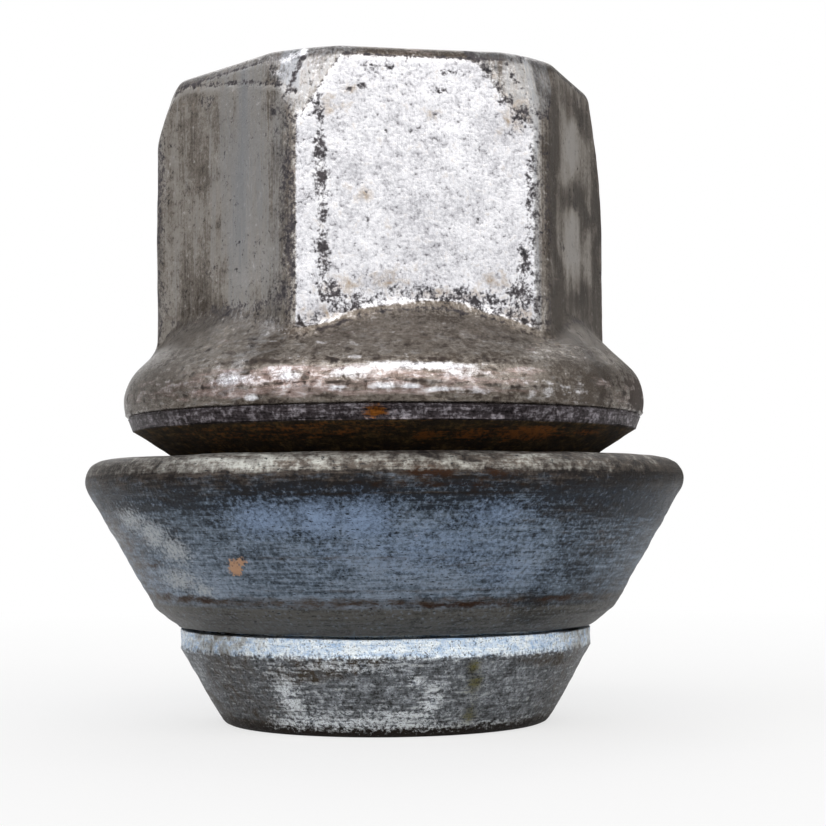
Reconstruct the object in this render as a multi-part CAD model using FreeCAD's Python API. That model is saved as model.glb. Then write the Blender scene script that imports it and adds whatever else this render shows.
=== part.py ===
import FreeCAD, Part

import math
import os

# A capped wheel nut with a captive conical seat washer.
# It has three pieces. The nut body is forged and machined steel: a hexagon, a round flange below it,
# a straight shank, a retaining groove and a tapered nose, with the stud bore right through it.
# The cap is thin stainless sheet, drawn over the hexagon and rolled in under the flange's widest line.
# The seat washer is a thick 60 degree cone that turns on the shank; its lower lip is rolled into the groove.
# The nut stands on its nose. Z is the thread axis and z = 0 is the nose end. Two flats face -Y and +Y.
# Lengths are millimetres and angles are degrees.

# Bore for an M14 x 1.5 stud, plain at the thread's minor diameter
thread_diameter = 14.0
thread_pitch = 1.5
thread_depth_per_pitch = 1.0825
mouth_clearance = 0.4
mouth_angle = 45.0

# Nose, retaining groove and shank, from the nose end up
nose_end_wall = 1.4
nose_edge_radius = 0.6
nose_angle = 30.0
nose_diameter = 22.3
nose_land_height = 1.03
groove_depth = 0.8
groove_land_height = 0.95
groove_slope = 26.5

# Conical seat washer, from its rolled lip up
washer_lip_gap = 0.1
washer_lip_thickness = 0.62
washer_lip_angle = 53.0
washer_lip_bend_radius = 1.5
washer_foot_wall = 1.23
washer_seat_angle = 30.0
washer_rim_radius = 1.14
washer_height = 8.92
washer_sink_depth = 0.18

# Room that lets the washer turn
groove_clearance = 0.25
shank_clearance = 0.08
washer_seat_gap = 0.15

# Bare rim of the flange, between its conical underside and the cap's lip
seat_slope = 32.0
rim_draft = 20.0
rim_height = 0.63
rim_setback = 0.25
lip_gap = 0.12

# Skirt of the cap over the flange
flange_overhang = 3.2
skirt_lip_rise = 0.75
skirt_bulge_radius = 2.5
skirt_slope = 45.0
skirt_run_in = 2.0
foot_fillet_radius = 1.0

# Hexagon and closed end, measured over the cap
hex_across_flats = 22.0
hex_corner_radius = 1.7
overall_height = 34.4
crown_angle = 14.0
crown_depth = 3.6
crown_blend_radius = 12.0
crown_spare = 0.1
top_edge_radius = 0.8

# Cap sheet and how it sits on the nut body; the flat ends touch
sheet_thickness = 0.5
inner_edge_radius = 0.3
cap_fit = 0.05


def tangent(degrees):
    return math.tan(math.radians(degrees))


# Radii and heights that follow from the sizes above, from the nose end up
thread_minor_radius = (thread_diameter - thread_depth_per_pitch * thread_pitch) / 2
mouth_radius = thread_diameter / 2 + mouth_clearance
nose_end_radius = mouth_radius + nose_end_wall
nose_radius = nose_diameter / 2
taper_height = (nose_radius - nose_end_radius) / tangent(nose_angle)
shoulder_height = taper_height + nose_land_height
groove_radius = nose_radius - groove_depth
groove_top = shoulder_height + groove_land_height
washer_bottom = shoulder_height + washer_lip_gap
washer_top = washer_bottom + washer_height
washer_bore_radius = nose_radius + shank_clearance
flange_radius = hex_across_flats / 2 + flange_overhang
rim_radius = flange_radius - rim_setback
rim_foot_radius = rim_radius - rim_height * tangent(rim_draft)
underside_height = washer_top - washer_sink_depth + washer_seat_gap
rim_foot = underside_height + (rim_foot_radius - washer_bore_radius) * tangent(seat_slope)
rim_top = rim_foot + rim_height
lip_height = rim_top + lip_gap
widest_height = lip_height + skirt_lip_rise
corner_sharpness = 1 / math.cos(math.pi / 6)
hex_corner_reach = hex_across_flats / 2 * corner_sharpness - hex_corner_radius * (corner_sharpness - 1)
core_inset = sheet_thickness + cap_fit
core_top = overall_height - sheet_thickness

# Smallest distances told apart, for an edge on a surface and for two points
on_surface = 0.01
same_point = 1e-6


def point(radius, height):
    """A point of a section, in the plane y = 0."""
    return FreeCAD.Vector(radius, 0, height)


def rounded_outline(corners):
    """A closed wire through (x, y, z, radius) corners, each rounded by an arc where its radius isn't 0."""
    places = [FreeCAD.Vector(*corner[:3]) for corner in corners]
    starts, ends, arcs = [], [], []
    for index, place in enumerate(places):
        radius = corners[index][3]
        back = (places[index - 1] - place).normalize()
        ahead = (places[(index + 1) % len(places)] - place).normalize()
        half_angle = back.getAngle(ahead) / 2
        reach = radius / math.tan(half_angle)
        starts.append(place + back * reach)
        ends.append(place + ahead * reach)
        middle = (back + ahead).normalize()
        arcs.append(place + middle * (radius / math.sin(half_angle) - radius))
    edges = []
    for index in range(len(places)):
        if corners[index][3] > 0:
            edges.append(Part.Arc(starts[index], arcs[index], ends[index]).toShape())
        following = (index + 1) % len(places)
        if ends[index].distanceToPoint(starts[following]) > same_point:
            edges.append(Part.LineSegment(ends[index], starts[following]).toShape())
    return Part.Wire(edges)


def turned(section):
    """The solid of revolution of a section given as (radius, height, corner radius) points."""
    outline = rounded_outline([(radius, 0, height, rounding) for radius, height, rounding in section])
    whole = Part.Face(outline).revolve(FreeCAD.Vector(), FreeCAD.Vector(0, 0, 1), 360)
    return Part.makeSolid(whole) if whole.ShapeType == "Shell" else whole


def hexagon_column(inset, bottom, top):
    """A straight column with the hexagon's walls moved in by the inset; two flats are square to Y."""
    corner_distance = (hex_across_flats / 2 - inset) * corner_sharpness
    corners = []
    for side in range(6):
        angle = math.radians(60 * side)
        x = corner_distance * math.cos(angle)
        y = corner_distance * math.sin(angle)
        corners.append((x, y, bottom, hex_corner_radius - inset))
    return Part.Face(rounded_outline(corners)).extrude(FreeCAD.Vector(0, 0, top - bottom))


def crown_envelope(inset, bottom, top):
    """A turned block that holds the skirt below and takes the hexagon's corners in towards the closed end."""
    side = hex_corner_reach + crown_spare - inset
    brim = flange_radius + crown_spare
    # the knee moves with the inset so that the inner cone stays parallel to the outer one
    knee = overall_height - crown_depth - inset * tangent(crown_angle / 2)
    brim_top = knee - crown_blend_radius * tangent(crown_angle / 2) - crown_spare
    return turned([
        (0, bottom, 0),
        (brim, bottom, 0),
        (brim, brim_top, 0),
        (side, brim_top, 0),
        (side, knee, crown_blend_radius - inset),
        (side - (top - knee) * tangent(crown_angle), top, 0),
        (0, top, 0),
    ])


def skirt_cone_foot(inset):
    """Radius and height where the skirt's cone runs into its bulge."""
    slope = math.radians(skirt_slope)
    bulge = skirt_bulge_radius - inset
    radius = flange_radius - skirt_bulge_radius + bulge * math.sin(slope)
    return radius, widest_height + bulge * math.cos(slope)


def skirt_form(inset, bottom):
    """The turned skirt: a cone that runs out of the hexagon, then a bulge that turns in again at the lip."""
    bulge = skirt_bulge_radius - inset
    centre = flange_radius - skirt_bulge_radius
    cone_radius, cone_height = skirt_cone_foot(inset)
    inner_radius = hex_across_flats / 2 - inset - skirt_run_in
    inner_height = cone_height + (cone_radius - inner_radius) * tangent(skirt_slope)
    lip = point(centre + math.sqrt(bulge ** 2 - (widest_height - bottom) ** 2), bottom)
    edges = [
        Part.LineSegment(point(0, bottom), lip),
        Part.Arc(lip, point(centre + bulge, widest_height), point(cone_radius, cone_height)),
        Part.LineSegment(point(cone_radius, cone_height), point(inner_radius, inner_height)),
        Part.LineSegment(point(inner_radius, inner_height), point(0, inner_height)),
        Part.LineSegment(point(0, inner_height), point(0, bottom)),
    ]
    section = Part.Face(Part.Wire([edge.toShape() for edge in edges]))
    return section.revolve(FreeCAD.Vector(), FreeCAD.Vector(0, 0, 1), 360)


def foot_edges(shape, inset):
    """The edges where the hexagon's walls meet the skirt's cone."""
    cone_radius, cone_height = skirt_cone_foot(inset)
    found = []
    for edge in shape.Edges:
        middle = edge.valueAt((edge.FirstParameter + edge.LastParameter) / 2)
        radius = math.hypot(middle.x, middle.y)
        above_cone = middle.z - cone_height - (cone_radius - radius) * tangent(skirt_slope)
        if abs(above_cone) < on_surface and radius < hex_corner_reach:
            found.append(edge)
    return found


def end_edges(shape, top):
    """The outline of the flat end."""
    return [edge for edge in shape.Edges if edge.BoundBox.ZMin > top - on_surface]


def capped_form(inset, bottom, top, foot_radius):
    """Hexagon, crown and skirt as one solid, its walls moved in by the inset, with a fillet at the foot."""
    whole = hexagon_column(inset, bottom, top).fuse(skirt_form(inset, bottom)).removeSplitter()
    if foot_radius > 0:
        whole = whole.makeFillet(foot_radius, foot_edges(whole, inset))
    return whole.common(crown_envelope(inset, bottom, top))


def steel_cap():
    """The drawn stainless cap: one sheet thickness between two parallel forms, open below."""
    outside = capped_form(0, lip_height, overall_height, foot_fillet_radius)
    outside = outside.makeFillet(top_edge_radius, end_edges(outside, overall_height))
    inner_foot_radius = foot_fillet_radius + sheet_thickness
    inside = capped_form(sheet_thickness, lip_height, core_top, inner_foot_radius)
    inside = inside.makeFillet(inner_edge_radius, end_edges(inside, core_top))
    return outside.cut(inside)


def core():
    """The forged hexagon and flange under the cap, a small fit inside the sheet."""
    whole = capped_form(core_inset, rim_top, core_top, 0)
    return whole.makeChamfer(inner_edge_radius, end_edges(whole, core_top))


def nut_body():
    """The forged nut: the core under the cap, the bare rim, the shank with its groove, and the nose."""
    lower = turned([
        (0, 0, 0),
        (nose_end_radius, 0, nose_edge_radius),
        (nose_radius, taper_height, 0),
        (nose_radius, shoulder_height, 0),
        (groove_radius, shoulder_height, 0),
        (groove_radius, groove_top, 0),
        (nose_radius, groove_top + groove_depth / tangent(groove_slope), 0),
        (nose_radius, underside_height - shank_clearance * tangent(seat_slope), 0),
        (rim_foot_radius, rim_foot, 0),
        (rim_radius, rim_top, 0),
        (0, rim_top, 0),
    ])
    mouth_depth = (mouth_radius - thread_minor_radius) / tangent(mouth_angle)
    bore = turned([
        (0, 0, 0),
        (mouth_radius, 0, 0),
        (thread_minor_radius, mouth_depth, 0),
        (thread_minor_radius, core_top - mouth_depth, 0),
        (mouth_radius, core_top, 0),
        (0, core_top, 0),
    ])
    return core().fuse(lower).removeSplitter().cut(bore)


def seat_washer():
    """The captive washer: a cone outside, a countersunk bore inside, and a lip rolled in under the shank."""
    lip_inner = groove_radius + groove_clearance
    lip_outer = lip_inner + washer_lip_thickness
    # the rolled lip runs out to the foot of the cone, and the cone up to the rounded rim
    bend_radius = washer_bore_radius + washer_foot_wall
    bend_height = washer_bottom + (bend_radius - lip_outer) / tangent(washer_lip_angle)
    rim_corner = bend_radius + (washer_top - bend_height) * tangent(washer_seat_angle)
    # the countersink is parallel to the flange's underside
    sink_radius = washer_bore_radius + washer_sink_depth / tangent(seat_slope)
    # inside the lip, the bore follows the groove's slope
    slope_top = groove_top + (washer_bore_radius - lip_inner) / tangent(groove_slope)
    return turned([
        (lip_inner, washer_bottom, 0),
        (lip_outer, washer_bottom, 0),
        (bend_radius, bend_height, washer_lip_bend_radius),
        (rim_corner, washer_top, washer_rim_radius),
        (sink_radius, washer_top, 0),
        (washer_bore_radius, washer_top - washer_sink_depth, 0),
        (washer_bore_radius, slope_top, 0),
        (lip_inner, groove_top, 0),
    ])


os.makedirs("parts", exist_ok=True)
for make in (nut_body, steel_cap, seat_washer):
    piece = make()
    piece.exportStep("parts/" + make.__name__ + ".step")
    print(make.__name__, "solids", len(piece.Solids), "valid", piece.isValid())
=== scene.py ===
import math

import bpy
import numpy as np
from mathutils import Matrix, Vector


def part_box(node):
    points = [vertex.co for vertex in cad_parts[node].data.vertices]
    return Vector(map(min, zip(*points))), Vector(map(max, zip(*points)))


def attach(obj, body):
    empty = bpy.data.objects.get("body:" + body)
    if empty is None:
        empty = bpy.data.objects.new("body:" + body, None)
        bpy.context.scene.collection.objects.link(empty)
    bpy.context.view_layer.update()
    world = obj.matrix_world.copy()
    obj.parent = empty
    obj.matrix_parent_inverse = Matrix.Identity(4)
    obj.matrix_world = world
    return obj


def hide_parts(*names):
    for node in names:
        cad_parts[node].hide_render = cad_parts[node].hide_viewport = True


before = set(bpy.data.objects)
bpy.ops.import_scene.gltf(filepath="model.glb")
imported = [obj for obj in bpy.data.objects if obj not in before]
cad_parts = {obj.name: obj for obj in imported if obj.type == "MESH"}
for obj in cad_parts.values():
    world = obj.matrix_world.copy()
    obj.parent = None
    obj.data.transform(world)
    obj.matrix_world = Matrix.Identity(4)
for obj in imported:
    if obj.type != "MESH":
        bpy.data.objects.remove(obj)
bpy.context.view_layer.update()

# Camera and studio.
# A long lens looks slightly up from near the floor, a little to the left of the front flat.
# The floor is pale and the background white; soft lamps and grey cards stand round the nut.
MM = 0.001
camera_distance = 102.5 * MM
camera_height = 11.0 * MM
camera_left = math.radians(10.1)
camera_aim = math.radians(10.97)
camera_pitch = math.radians(3.18)
camera_roll = math.radians(-0.37)
frame_pixels = 826
focal_pixels = 1867
sensor_width = 36.0

camera_data = bpy.data.cameras.new("camera")
camera_data.sensor_width = sensor_width
camera_data.lens = sensor_width * focal_pixels / frame_pixels
camera_data.clip_start = 1 * MM
camera = bpy.data.objects.new("camera", camera_data)
bpy.context.scene.collection.objects.link(camera)
bpy.context.scene.camera = camera
camera_place = (
    -camera_distance * math.sin(camera_left),
    -camera_distance * math.cos(camera_left),
    camera_height,
)
camera.matrix_world = (
    Matrix.Translation(camera_place)
    @ Matrix.Rotation(-camera_aim, 4, "Z")
    @ Matrix.Rotation(math.radians(90) + camera_pitch, 4, "X")
    @ Matrix.Rotation(camera_roll, 4, "Z")
)
bpy.context.scene.view_settings.view_transform = "Standard"


def linear(colour):
    """The linear red, green, blue and alpha of an sRGB hex colour."""
    parts = np.array([int(colour[i:i + 2], 16) for i in (1, 3, 5)]) / 255
    parts = np.where(parts <= 0.04045, parts / 12.92, ((parts + 0.055) / 1.055) ** 2.4)
    return (*[float(part) for part in parts], 1.0)


def add(tree, kind, inputs=(), output=0, **settings):
    """Adds one node with its settings. An input, by name or place, is a value, an sRGB hex colour or another
    node's output. Gives back the output named, or nothing where the node has none."""
    node = tree.nodes.new("ShaderNode" + kind)
    for name, value in settings.items():
        setattr(node, name, value)
    for name, value in dict(inputs).items():
        if isinstance(value, bpy.types.NodeSocket):
            tree.links.new(value, node.inputs[name])
        elif isinstance(value, str):
            node.inputs[name].default_value = linear(value)
        else:
            node.inputs[name].default_value = value
    if len(node.outputs) > 0:
        return node.outputs[output]


def new_material(name):
    """An empty material and its node tree."""
    material = bpy.data.materials.new(name)
    material.use_nodes = True
    material.node_tree.nodes.clear()
    return material, material.node_tree


def flat_piece(name, width, height, material):
    """A flat rectangle about the origin that faces up."""
    x = width / 2
    y = height / 2
    mesh = bpy.data.meshes.new(name)
    mesh.from_pydata([(-x, -y, 0), (x, -y, 0), (x, y, 0), (-x, y, 0)], [], [(0, 1, 2, 3)])
    mesh.materials.append(material)
    item = bpy.data.objects.new(name, mesh)
    bpy.context.scene.collection.objects.link(item)
    return item


# Matt paper scatters light evenly, so the floor carries a soft shadow and no reflection.
# Away from the nut it turns into plain white for the camera, so its edge never shows.
floor_size = 3.0
fade_start = 20 * MM
fade_end = 120 * MM
floor_material, tree = new_material("matt white studio paper")
place = add(tree, "TexCoord", output="Object")
away = add(tree, "VectorMath", {0: place}, "Value", operation="LENGTH")
share = add(tree, "MapRange", {
    "Value": away, "From Min": fade_start, "From Max": fade_end, "To Min": 0.68, "To Max": 1.0})
to_camera = add(tree, "LightPath", output="Is Camera Ray")
share = add(tree, "Math", {0: share, 1: to_camera}, operation="MULTIPLY")
paper = add(tree, "BsdfDiffuse", {"Color": "#f3f2f0"})
white = add(tree, "Emission", {"Color": "#ffffff", "Strength": 1.0})
surface = add(tree, "MixShader", {0: share, 1: paper, 2: white})
add(tree, "OutputMaterial", {"Surface": surface})
floor = flat_piece("floor", floor_size, floor_size, floor_material)

# The world is white to the camera and in reflections, and gives a fainter, cooler light
world = bpy.data.worlds.new("studio")
bpy.context.scene.world = world
world.use_nodes = True
tree = world.node_tree
tree.nodes.clear()
seen = add(tree, "LightPath", output="Is Camera Ray")
for ray in ("Is Glossy Ray", "Is Transmission Ray"):
    seen = add(tree, "Math", {0: seen, 1: add(tree, "LightPath", output=ray)}, operation="MAXIMUM")
fill = add(tree, "Background", {"Color": "#eef2f8", "Strength": 0.6})
white = add(tree, "Background", {"Color": "#ffffff", "Strength": 1.0})
sky = add(tree, "MixShader", {0: seen, 1: fill, 2: white})
add(tree, "OutputWorld", {"Surface": sky})

nut_middle = 18 * MM


def facing_nut(azimuth, elevation, distance):
    """The place of a thing that faces the nut from a compass direction, 0 in front and positive to the right:
    moved out along its own axis, tipped up by the elevation, then turned round the nut's middle."""
    return (
        Matrix.Translation((0, 0, nut_middle))
        @ Matrix.Rotation(math.radians(azimuth), 4, "Z")
        @ Matrix.Rotation(math.radians(90 - elevation), 4, "X")
        @ Matrix.Translation((0, 0, distance))
    )


# Soft lamps: the brightness is what a mirror would show, 1 being white
for name, azimuth, elevation, distance, width, height, brightness, colour in (
    ("key_lamp", -5, 44, 0.40, 0.85, 0.16, 2.2, "#fffaf4"),
    ("left_lamp", -75, 45, 0.45, 0.25, 0.20, 1.6, "#f4f6ff"),
    ("back_lamp", 165, 45, 0.45, 0.40, 0.25, 1.8, "#ffffff"),
):
    lamp = bpy.data.lights.new(name, "AREA")
    lamp.shape = "RECTANGLE"
    lamp.size = width
    lamp.size_y = height
    lamp.energy = brightness * math.pi * width * height
    lamp.color = linear(colour)[:3]
    item = bpy.data.objects.new(name, lamp)
    item.matrix_world = facing_nut(azimuth, elevation, distance)
    bpy.context.scene.collection.objects.link(item)

# Matt grey cards that only reflections see, which give the bare metal something darker than white to mirror
card_material, tree = new_material("grey studio card")
surface = add(tree, "BsdfDiffuse", {"Color": "#a8a49f"})
add(tree, "OutputMaterial", {"Surface": surface})
for name, azimuth, elevation, width, height in (
    ("left_card", -112, 6, 0.34, 0.30),
    ("right_card", 128, 6, 0.34, 0.30),
    ("back_left_strip", -158, 12, 0.07, 0.34),
    ("back_right_strip", 176, 12, 0.05, 0.34),
):
    item = flat_piece(name, width, height, card_material)
    item.data.transform(facing_nut(azimuth, elevation, 0.30))
    item.visible_camera = False
    item.visible_shadow = False


# Nut body.
# One forging of medium carbon steel: a hexagon core and flange that the cap hides, and below them a bare rim,
# a rusty cone, the shank with its groove, and a tapered nose. The M14 x 1.5 thread is cut right through it.
_, body_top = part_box("nut_body")
cap_low, cap_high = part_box("steel_cap")
rim_radius = body_top.x / MM
core_top = body_top.z / MM
flange_radius = cap_high.x / MM
overall_height = cap_high.z / MM
lip_height = cap_low.z / MM
sheet_thickness = 0.5
core_inset = 0.55
core_edge = 0.3
hex_across_flats = 22.0
hex_corner_radius = 1.7
crown_depth = 3.6
crown_angle = math.radians(14.0)
crown_slope = math.tan(crown_angle)
crown_room = 0.1
crown_blend = 0.37
wall_blend = 0.12
widest_height = lip_height + 0.75
bulge_radius = 2.5
foot_blend = 0.55
thread_radius = 7.0
thread_pitch = 1.5
thread_depth = 0.812
thread_steepness = 1.3
thread_flat = 0.15
mouth_radius = 7.4
nose_end_radius = 8.8
nose_radius = 11.15
taper_height = 4.07
shoulder_height = 5.1
groove_radius = 10.35
groove_top = 6.05
groove_slope_top = 7.65
underside_height = 14.04
rim_foot_height = 15.65
rim_foot_radius = rim_radius - 0.23
rim_top = 16.28


def soft_min(a, b, width):
    """The smaller of two values, with their corner rounded where they differ by less than the width."""
    near = np.clip(width - np.abs(a - b), 0, None) / width
    return np.minimum(a, b) - near ** 2 * width / 4


def hexagon_reach(angle, inset):
    """Distance from the axis to the hexagon's wall: the flat's distance over the cosine of the angle from its
    middle, and near a corner the far side of the corner's arc. Flats face -Y and +Y, corners -X and +X."""
    flat = hex_across_flats / 2 - inset
    arc = hex_corner_radius - inset
    centre = (flat - arc) / math.cos(math.pi / 6)
    from_corner = np.mod(angle + math.pi / 6, math.pi / 3) - math.pi / 6
    reach = flat / np.cos(math.pi / 6 - np.abs(from_corner))
    under_root = np.clip(arc ** 2 - (centre * np.sin(from_corner)) ** 2, 0, None)
    rounded = centre * np.cos(from_corner) + np.sqrt(under_root)
    tangent = math.atan2(arc * 0.5, centre + arc * math.cos(math.pi / 6))
    return np.where(np.abs(from_corner) < tangent, rounded, reach)


def skirt_reach(height, inset):
    """Radius of the skirt: an arc round the flange's edge that runs into a 45 degree cone."""
    bulge = bulge_radius - inset
    centre = flange_radius - bulge_radius
    leave = bulge * math.sqrt(0.5)
    arc = centre + np.sqrt(np.clip(bulge ** 2 - (height - widest_height) ** 2, 0, None))
    cone = centre + leave - (height - widest_height - leave)
    return np.where(height < widest_height + leave, arc, cone)


def capped_reach(angle, height, inset, knee, slope):
    """Radius of the capped form: the hexagon's wall, taken in above the knee by the crown's cone, and the
    skirt below, joined by soft corners."""
    to_corner = 1 / math.cos(math.pi / 6)
    corner_reach = hex_across_flats / 2 * to_corner - hex_corner_radius * (to_corner - 1)
    side = corner_reach + crown_room - inset
    crown = soft_min(side + 0 * height, side - (height - knee) * slope, crown_blend)
    wall = soft_min(hexagon_reach(angle, inset) + 0 * height, crown, wall_blend)
    return -soft_min(-wall, -skirt_reach(height, inset), foot_blend)


def rounded_section(corners, step):
    """Points about a step apart along a closed section of (radius, height, rounding) corners: straight runs
    joined by tangent arcs, each arc about its centre from one tangent point to the other."""
    points = np.array([corner[:2] for corner in corners], float)
    rounding = np.array([corner[2] for corner in corners], float)
    back = np.roll(points, 1, 0) - points
    ahead = np.roll(points, -1, 0) - points
    back /= np.linalg.norm(back, axis=1, keepdims=True)
    ahead /= np.linalg.norm(ahead, axis=1, keepdims=True)
    half_angle = np.arccos(np.clip((back * ahead).sum(1), -1, 1)) / 2
    reach = rounding / np.tan(half_angle)
    starts = points + back * reach[:, None]
    shoulder_side_shade = points + ahead * reach[:, None]
    middle = (back + ahead) / np.linalg.norm(back + ahead, axis=1, keepdims=True)
    centres = points + middle * (rounding / np.sin(half_angle))[:, None]
    pieces = []
    for i in range(len(corners)):
        first = math.atan2(*(starts[i] - centres[i])[::-1])
        sweep = math.remainder(math.atan2(*(shoulder_side_shade[i] - centres[i])[::-1]) - first, 2 * math.pi)
        count = max(4, round(abs(sweep) * rounding[i] / step))
        turn = first + sweep * np.linspace(0, 1, count + 1)
        pieces.append(centres[i] + rounding[i] * np.stack([np.cos(turn), np.sin(turn)], 1))
        run = starts[(i + 1) % len(corners)] - shoulder_side_shade[i]
        count = max(1, round(np.linalg.norm(run) / step))
        pieces.append(shoulder_side_shade[i] + run * (np.arange(1, count) / count)[:, None])
    return np.concatenate(pieces)


def rough_field(rows, columns, row_blur, column_blur, seed):
    """Random relief of spread 1 that repeats both ways: white noise blurred by a Gaussian of those widths."""
    noise = np.random.default_rng(seed).standard_normal((rows, columns))
    row_waves = np.fft.fftfreq(rows)[:, None] * row_blur
    column_waves = np.fft.rfftfreq(columns)[None] * column_blur
    blur = np.exp(-2 * math.pi ** 2 * (row_waves ** 2 + column_waves ** 2))
    field = np.fft.irfft2(np.fft.rfft2(noise) * blur, s=(rows, columns))
    return field / field.std()


def turned_grid(radius, height, angle):
    """Points in millimetres for rows of radius and height at columns of angle."""
    radius = radius + 0 * angle
    height = height + 0 * angle
    return np.stack([radius * np.cos(angle), radius * np.sin(angle), height], 2)


def outward(points):
    """Unit normals of a grid whose columns go round: the cross product of its two directions."""
    round_way = np.roll(points, -1, 1) - np.roll(points, 1, 1)
    along = np.gradient(points, axis=0)
    normal = np.cross(round_way, along)
    return normal / np.clip(np.linalg.norm(normal, axis=2, keepdims=True), 1e-9, None)


def grid_piece(name, points, marks, closed_section, material):
    """A closed mesh from a grid in millimetres whose columns go round. A closed section joins its last row to
    its first; an open one shrinks its end rows to a point each. Marks are values kept on the points."""
    rows, columns = points.shape[:2]
    index = np.arange(rows * columns).reshape(rows, columns)
    if closed_section:
        top, bottom = index, np.roll(index, -1, 0)
    else:
        top, bottom = index[1:-2], index[2:-1]
    corners = np.stack([top, np.roll(top, -1, 1), np.roll(bottom, -1, 1), bottom], 2).reshape(-1, 4)
    faces = corners.tolist()
    if not closed_section:
        ring = index[1]
        faces += np.stack([np.full(columns, index[0, 0]), np.roll(ring, -1), ring], 1).tolist()
        ring = index[-2]
        faces += np.stack([np.full(columns, index[-1, 0]), ring, np.roll(ring, -1)], 1).tolist()
    used = np.ones(rows * columns, bool)
    if not closed_section:
        used[1:columns] = False
        used[-columns + 1:] = False
    fresh = np.cumsum(used) - 1
    faces = [[int(fresh[i]) for i in face] for face in faces]
    mesh = bpy.data.meshes.new(name)
    mesh.from_pydata((points.reshape(-1, 3)[used] * MM).tolist(), [], faces)
    for mark, values in marks.items():
        attribute = mesh.attributes.new(mark, "FLOAT", "POINT")
        attribute.data.foreach_set("value", values.reshape(-1)[used].astype(np.float32))
    mesh.polygons.foreach_set("use_smooth", [True] * len(mesh.polygons))
    mesh.materials.append(material)
    mesh.update()
    piece = bpy.data.objects.new(name, mesh)
    bpy.context.scene.collection.objects.link(piece)
    return piece


def ease(value, low, high):
    """0 below the low value and 1 above the high one, with a smooth step between."""
    share = np.clip((value - low) / (high - low), 0, 1)
    return share * share * (3 - 2 * share)


def bell(value, centre, width):
    """1 at the centre, falling off on both sides as a bell curve."""
    return np.exp(-((value - centre) / width) ** 2)


def spots(across, height, places):
    """The strongest of some soft spots, each (across, height, half width, half height, strength), that fall
    off as bell curves."""
    total = np.zeros(np.broadcast(across, height).shape)
    for x, z, half_width, half_height, strength in places:
        distance = ((across - x) / half_width) ** 2 + ((height - z) / half_height) ** 2
        total = np.maximum(total, strength * np.exp(-distance))
    return total


def lay_marks(tree, colour, layers):
    """The colour with marks laid over it one by one. A tint shows where its mark plus gain times a noise
    passes a threshold, with an edge as soft as the spread. Gives back the last mark's share too."""
    for mark, noise, gain, spread, tint in layers:
        threshold = 0.5 + gain / 2
        share = add(tree, "Attribute", output="Fac", attribute_name=mark)
        share = add(tree, "Math", {0: noise, 1: gain, 2: share}, operation="MULTIPLY_ADD")
        share = add(tree, "MapRange", {
            "Value": share, "From Min": threshold - spread, "From Max": threshold + spread})
        colour = add(tree, "Mix", {0: share, 6: colour, 7: tint}, 2, data_type="RGBA")
    return colour, share


# The section below the rim is one turned profile, from the bore's mouth at the nose up to the rim's top:
# each corner's radius, height and rounding
body_columns = 264
angle = np.linspace(0, 2 * math.pi, body_columns, endpoint=False)[None]
lower = rounded_section([
    (mouth_radius, 0, 0.05),
    (nose_end_radius, 0, 0.6),
    (nose_radius, taper_height, 0.12),
    (nose_radius, shoulder_height, 0.1),
    (groove_radius, shoulder_height, 0.05),
    (groove_radius, groove_top, 0.05),
    (nose_radius, groove_slope_top, 0.1),
    (nose_radius, underside_height, 0.1),
    (rim_foot_radius, rim_foot_height, 0.12),
    (rim_radius, rim_top, 0.08),
    (mouth_radius, rim_top, 0.05),
], step=0.16)
rim_end = int(np.argmin(np.abs(lower[:, 1] - rim_top) + np.abs(lower[:, 0] - rim_radius)))
lower = lower[:rim_end + 1]
core_heights = np.linspace(rim_top, core_top - core_edge, 40)[:, None] + 0 * angle
core_knee = overall_height - crown_depth - core_inset * math.tan(crown_angle / 2)
core_radii = capped_reach(angle, core_heights, core_inset, core_knee, crown_slope)
core_radii[0] = rim_radius
end_radii = np.stack([core_radii[-1] - core_edge, 0 * core_radii[-1] + mouth_radius])
end_heights = np.full_like(end_radii, core_top)

# The bore from the core's top down: a helix whose ridge is a triangle wave with its crest and root cut flat,
# and a 45 degree mouth at both ends
thread_rows = 160
bore_end = 0.02
depths = np.linspace(core_top - bore_end, bore_end, thread_rows)[:, None]
turns = depths / thread_pitch + angle / (2 * math.pi)
wave = 1 - 2 * np.abs(np.mod(turns, 1) - 0.5)
cut = thread_radius - thread_depth * np.clip(thread_steepness * wave - thread_flat, 0, 1)
mouth = np.maximum(mouth_radius - depths, mouth_radius - (core_top - depths))
bore_radii = np.maximum(cut, mouth)
nut_radii = np.concatenate([lower[:, :1] + 0 * angle, core_radii, end_radii, bore_radii])
nut_heights = np.concatenate([lower[:, 1:] + 0 * angle, core_heights, end_heights, depths + 0 * angle])
nut_points = turned_grid(nut_radii, nut_heights, angle)

# Shallow pits, only on the outside and only inwards
nut_shape = nut_radii.shape
pit_depth = 0.012
pitting = rough_field(*nut_shape, 1.2, 1.4, 11) + 0.8 * rough_field(*nut_shape, 4, 5, 12)
outside = np.zeros(nut_shape)
outside[:len(lower)] = 1
outside *= ease(nut_heights, 0.02, 0.3)
sunk = pit_depth * (3 - np.clip(pitting, -3, 3)) * outside
nut_points -= outward(nut_points) * sunk[..., None]

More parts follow.
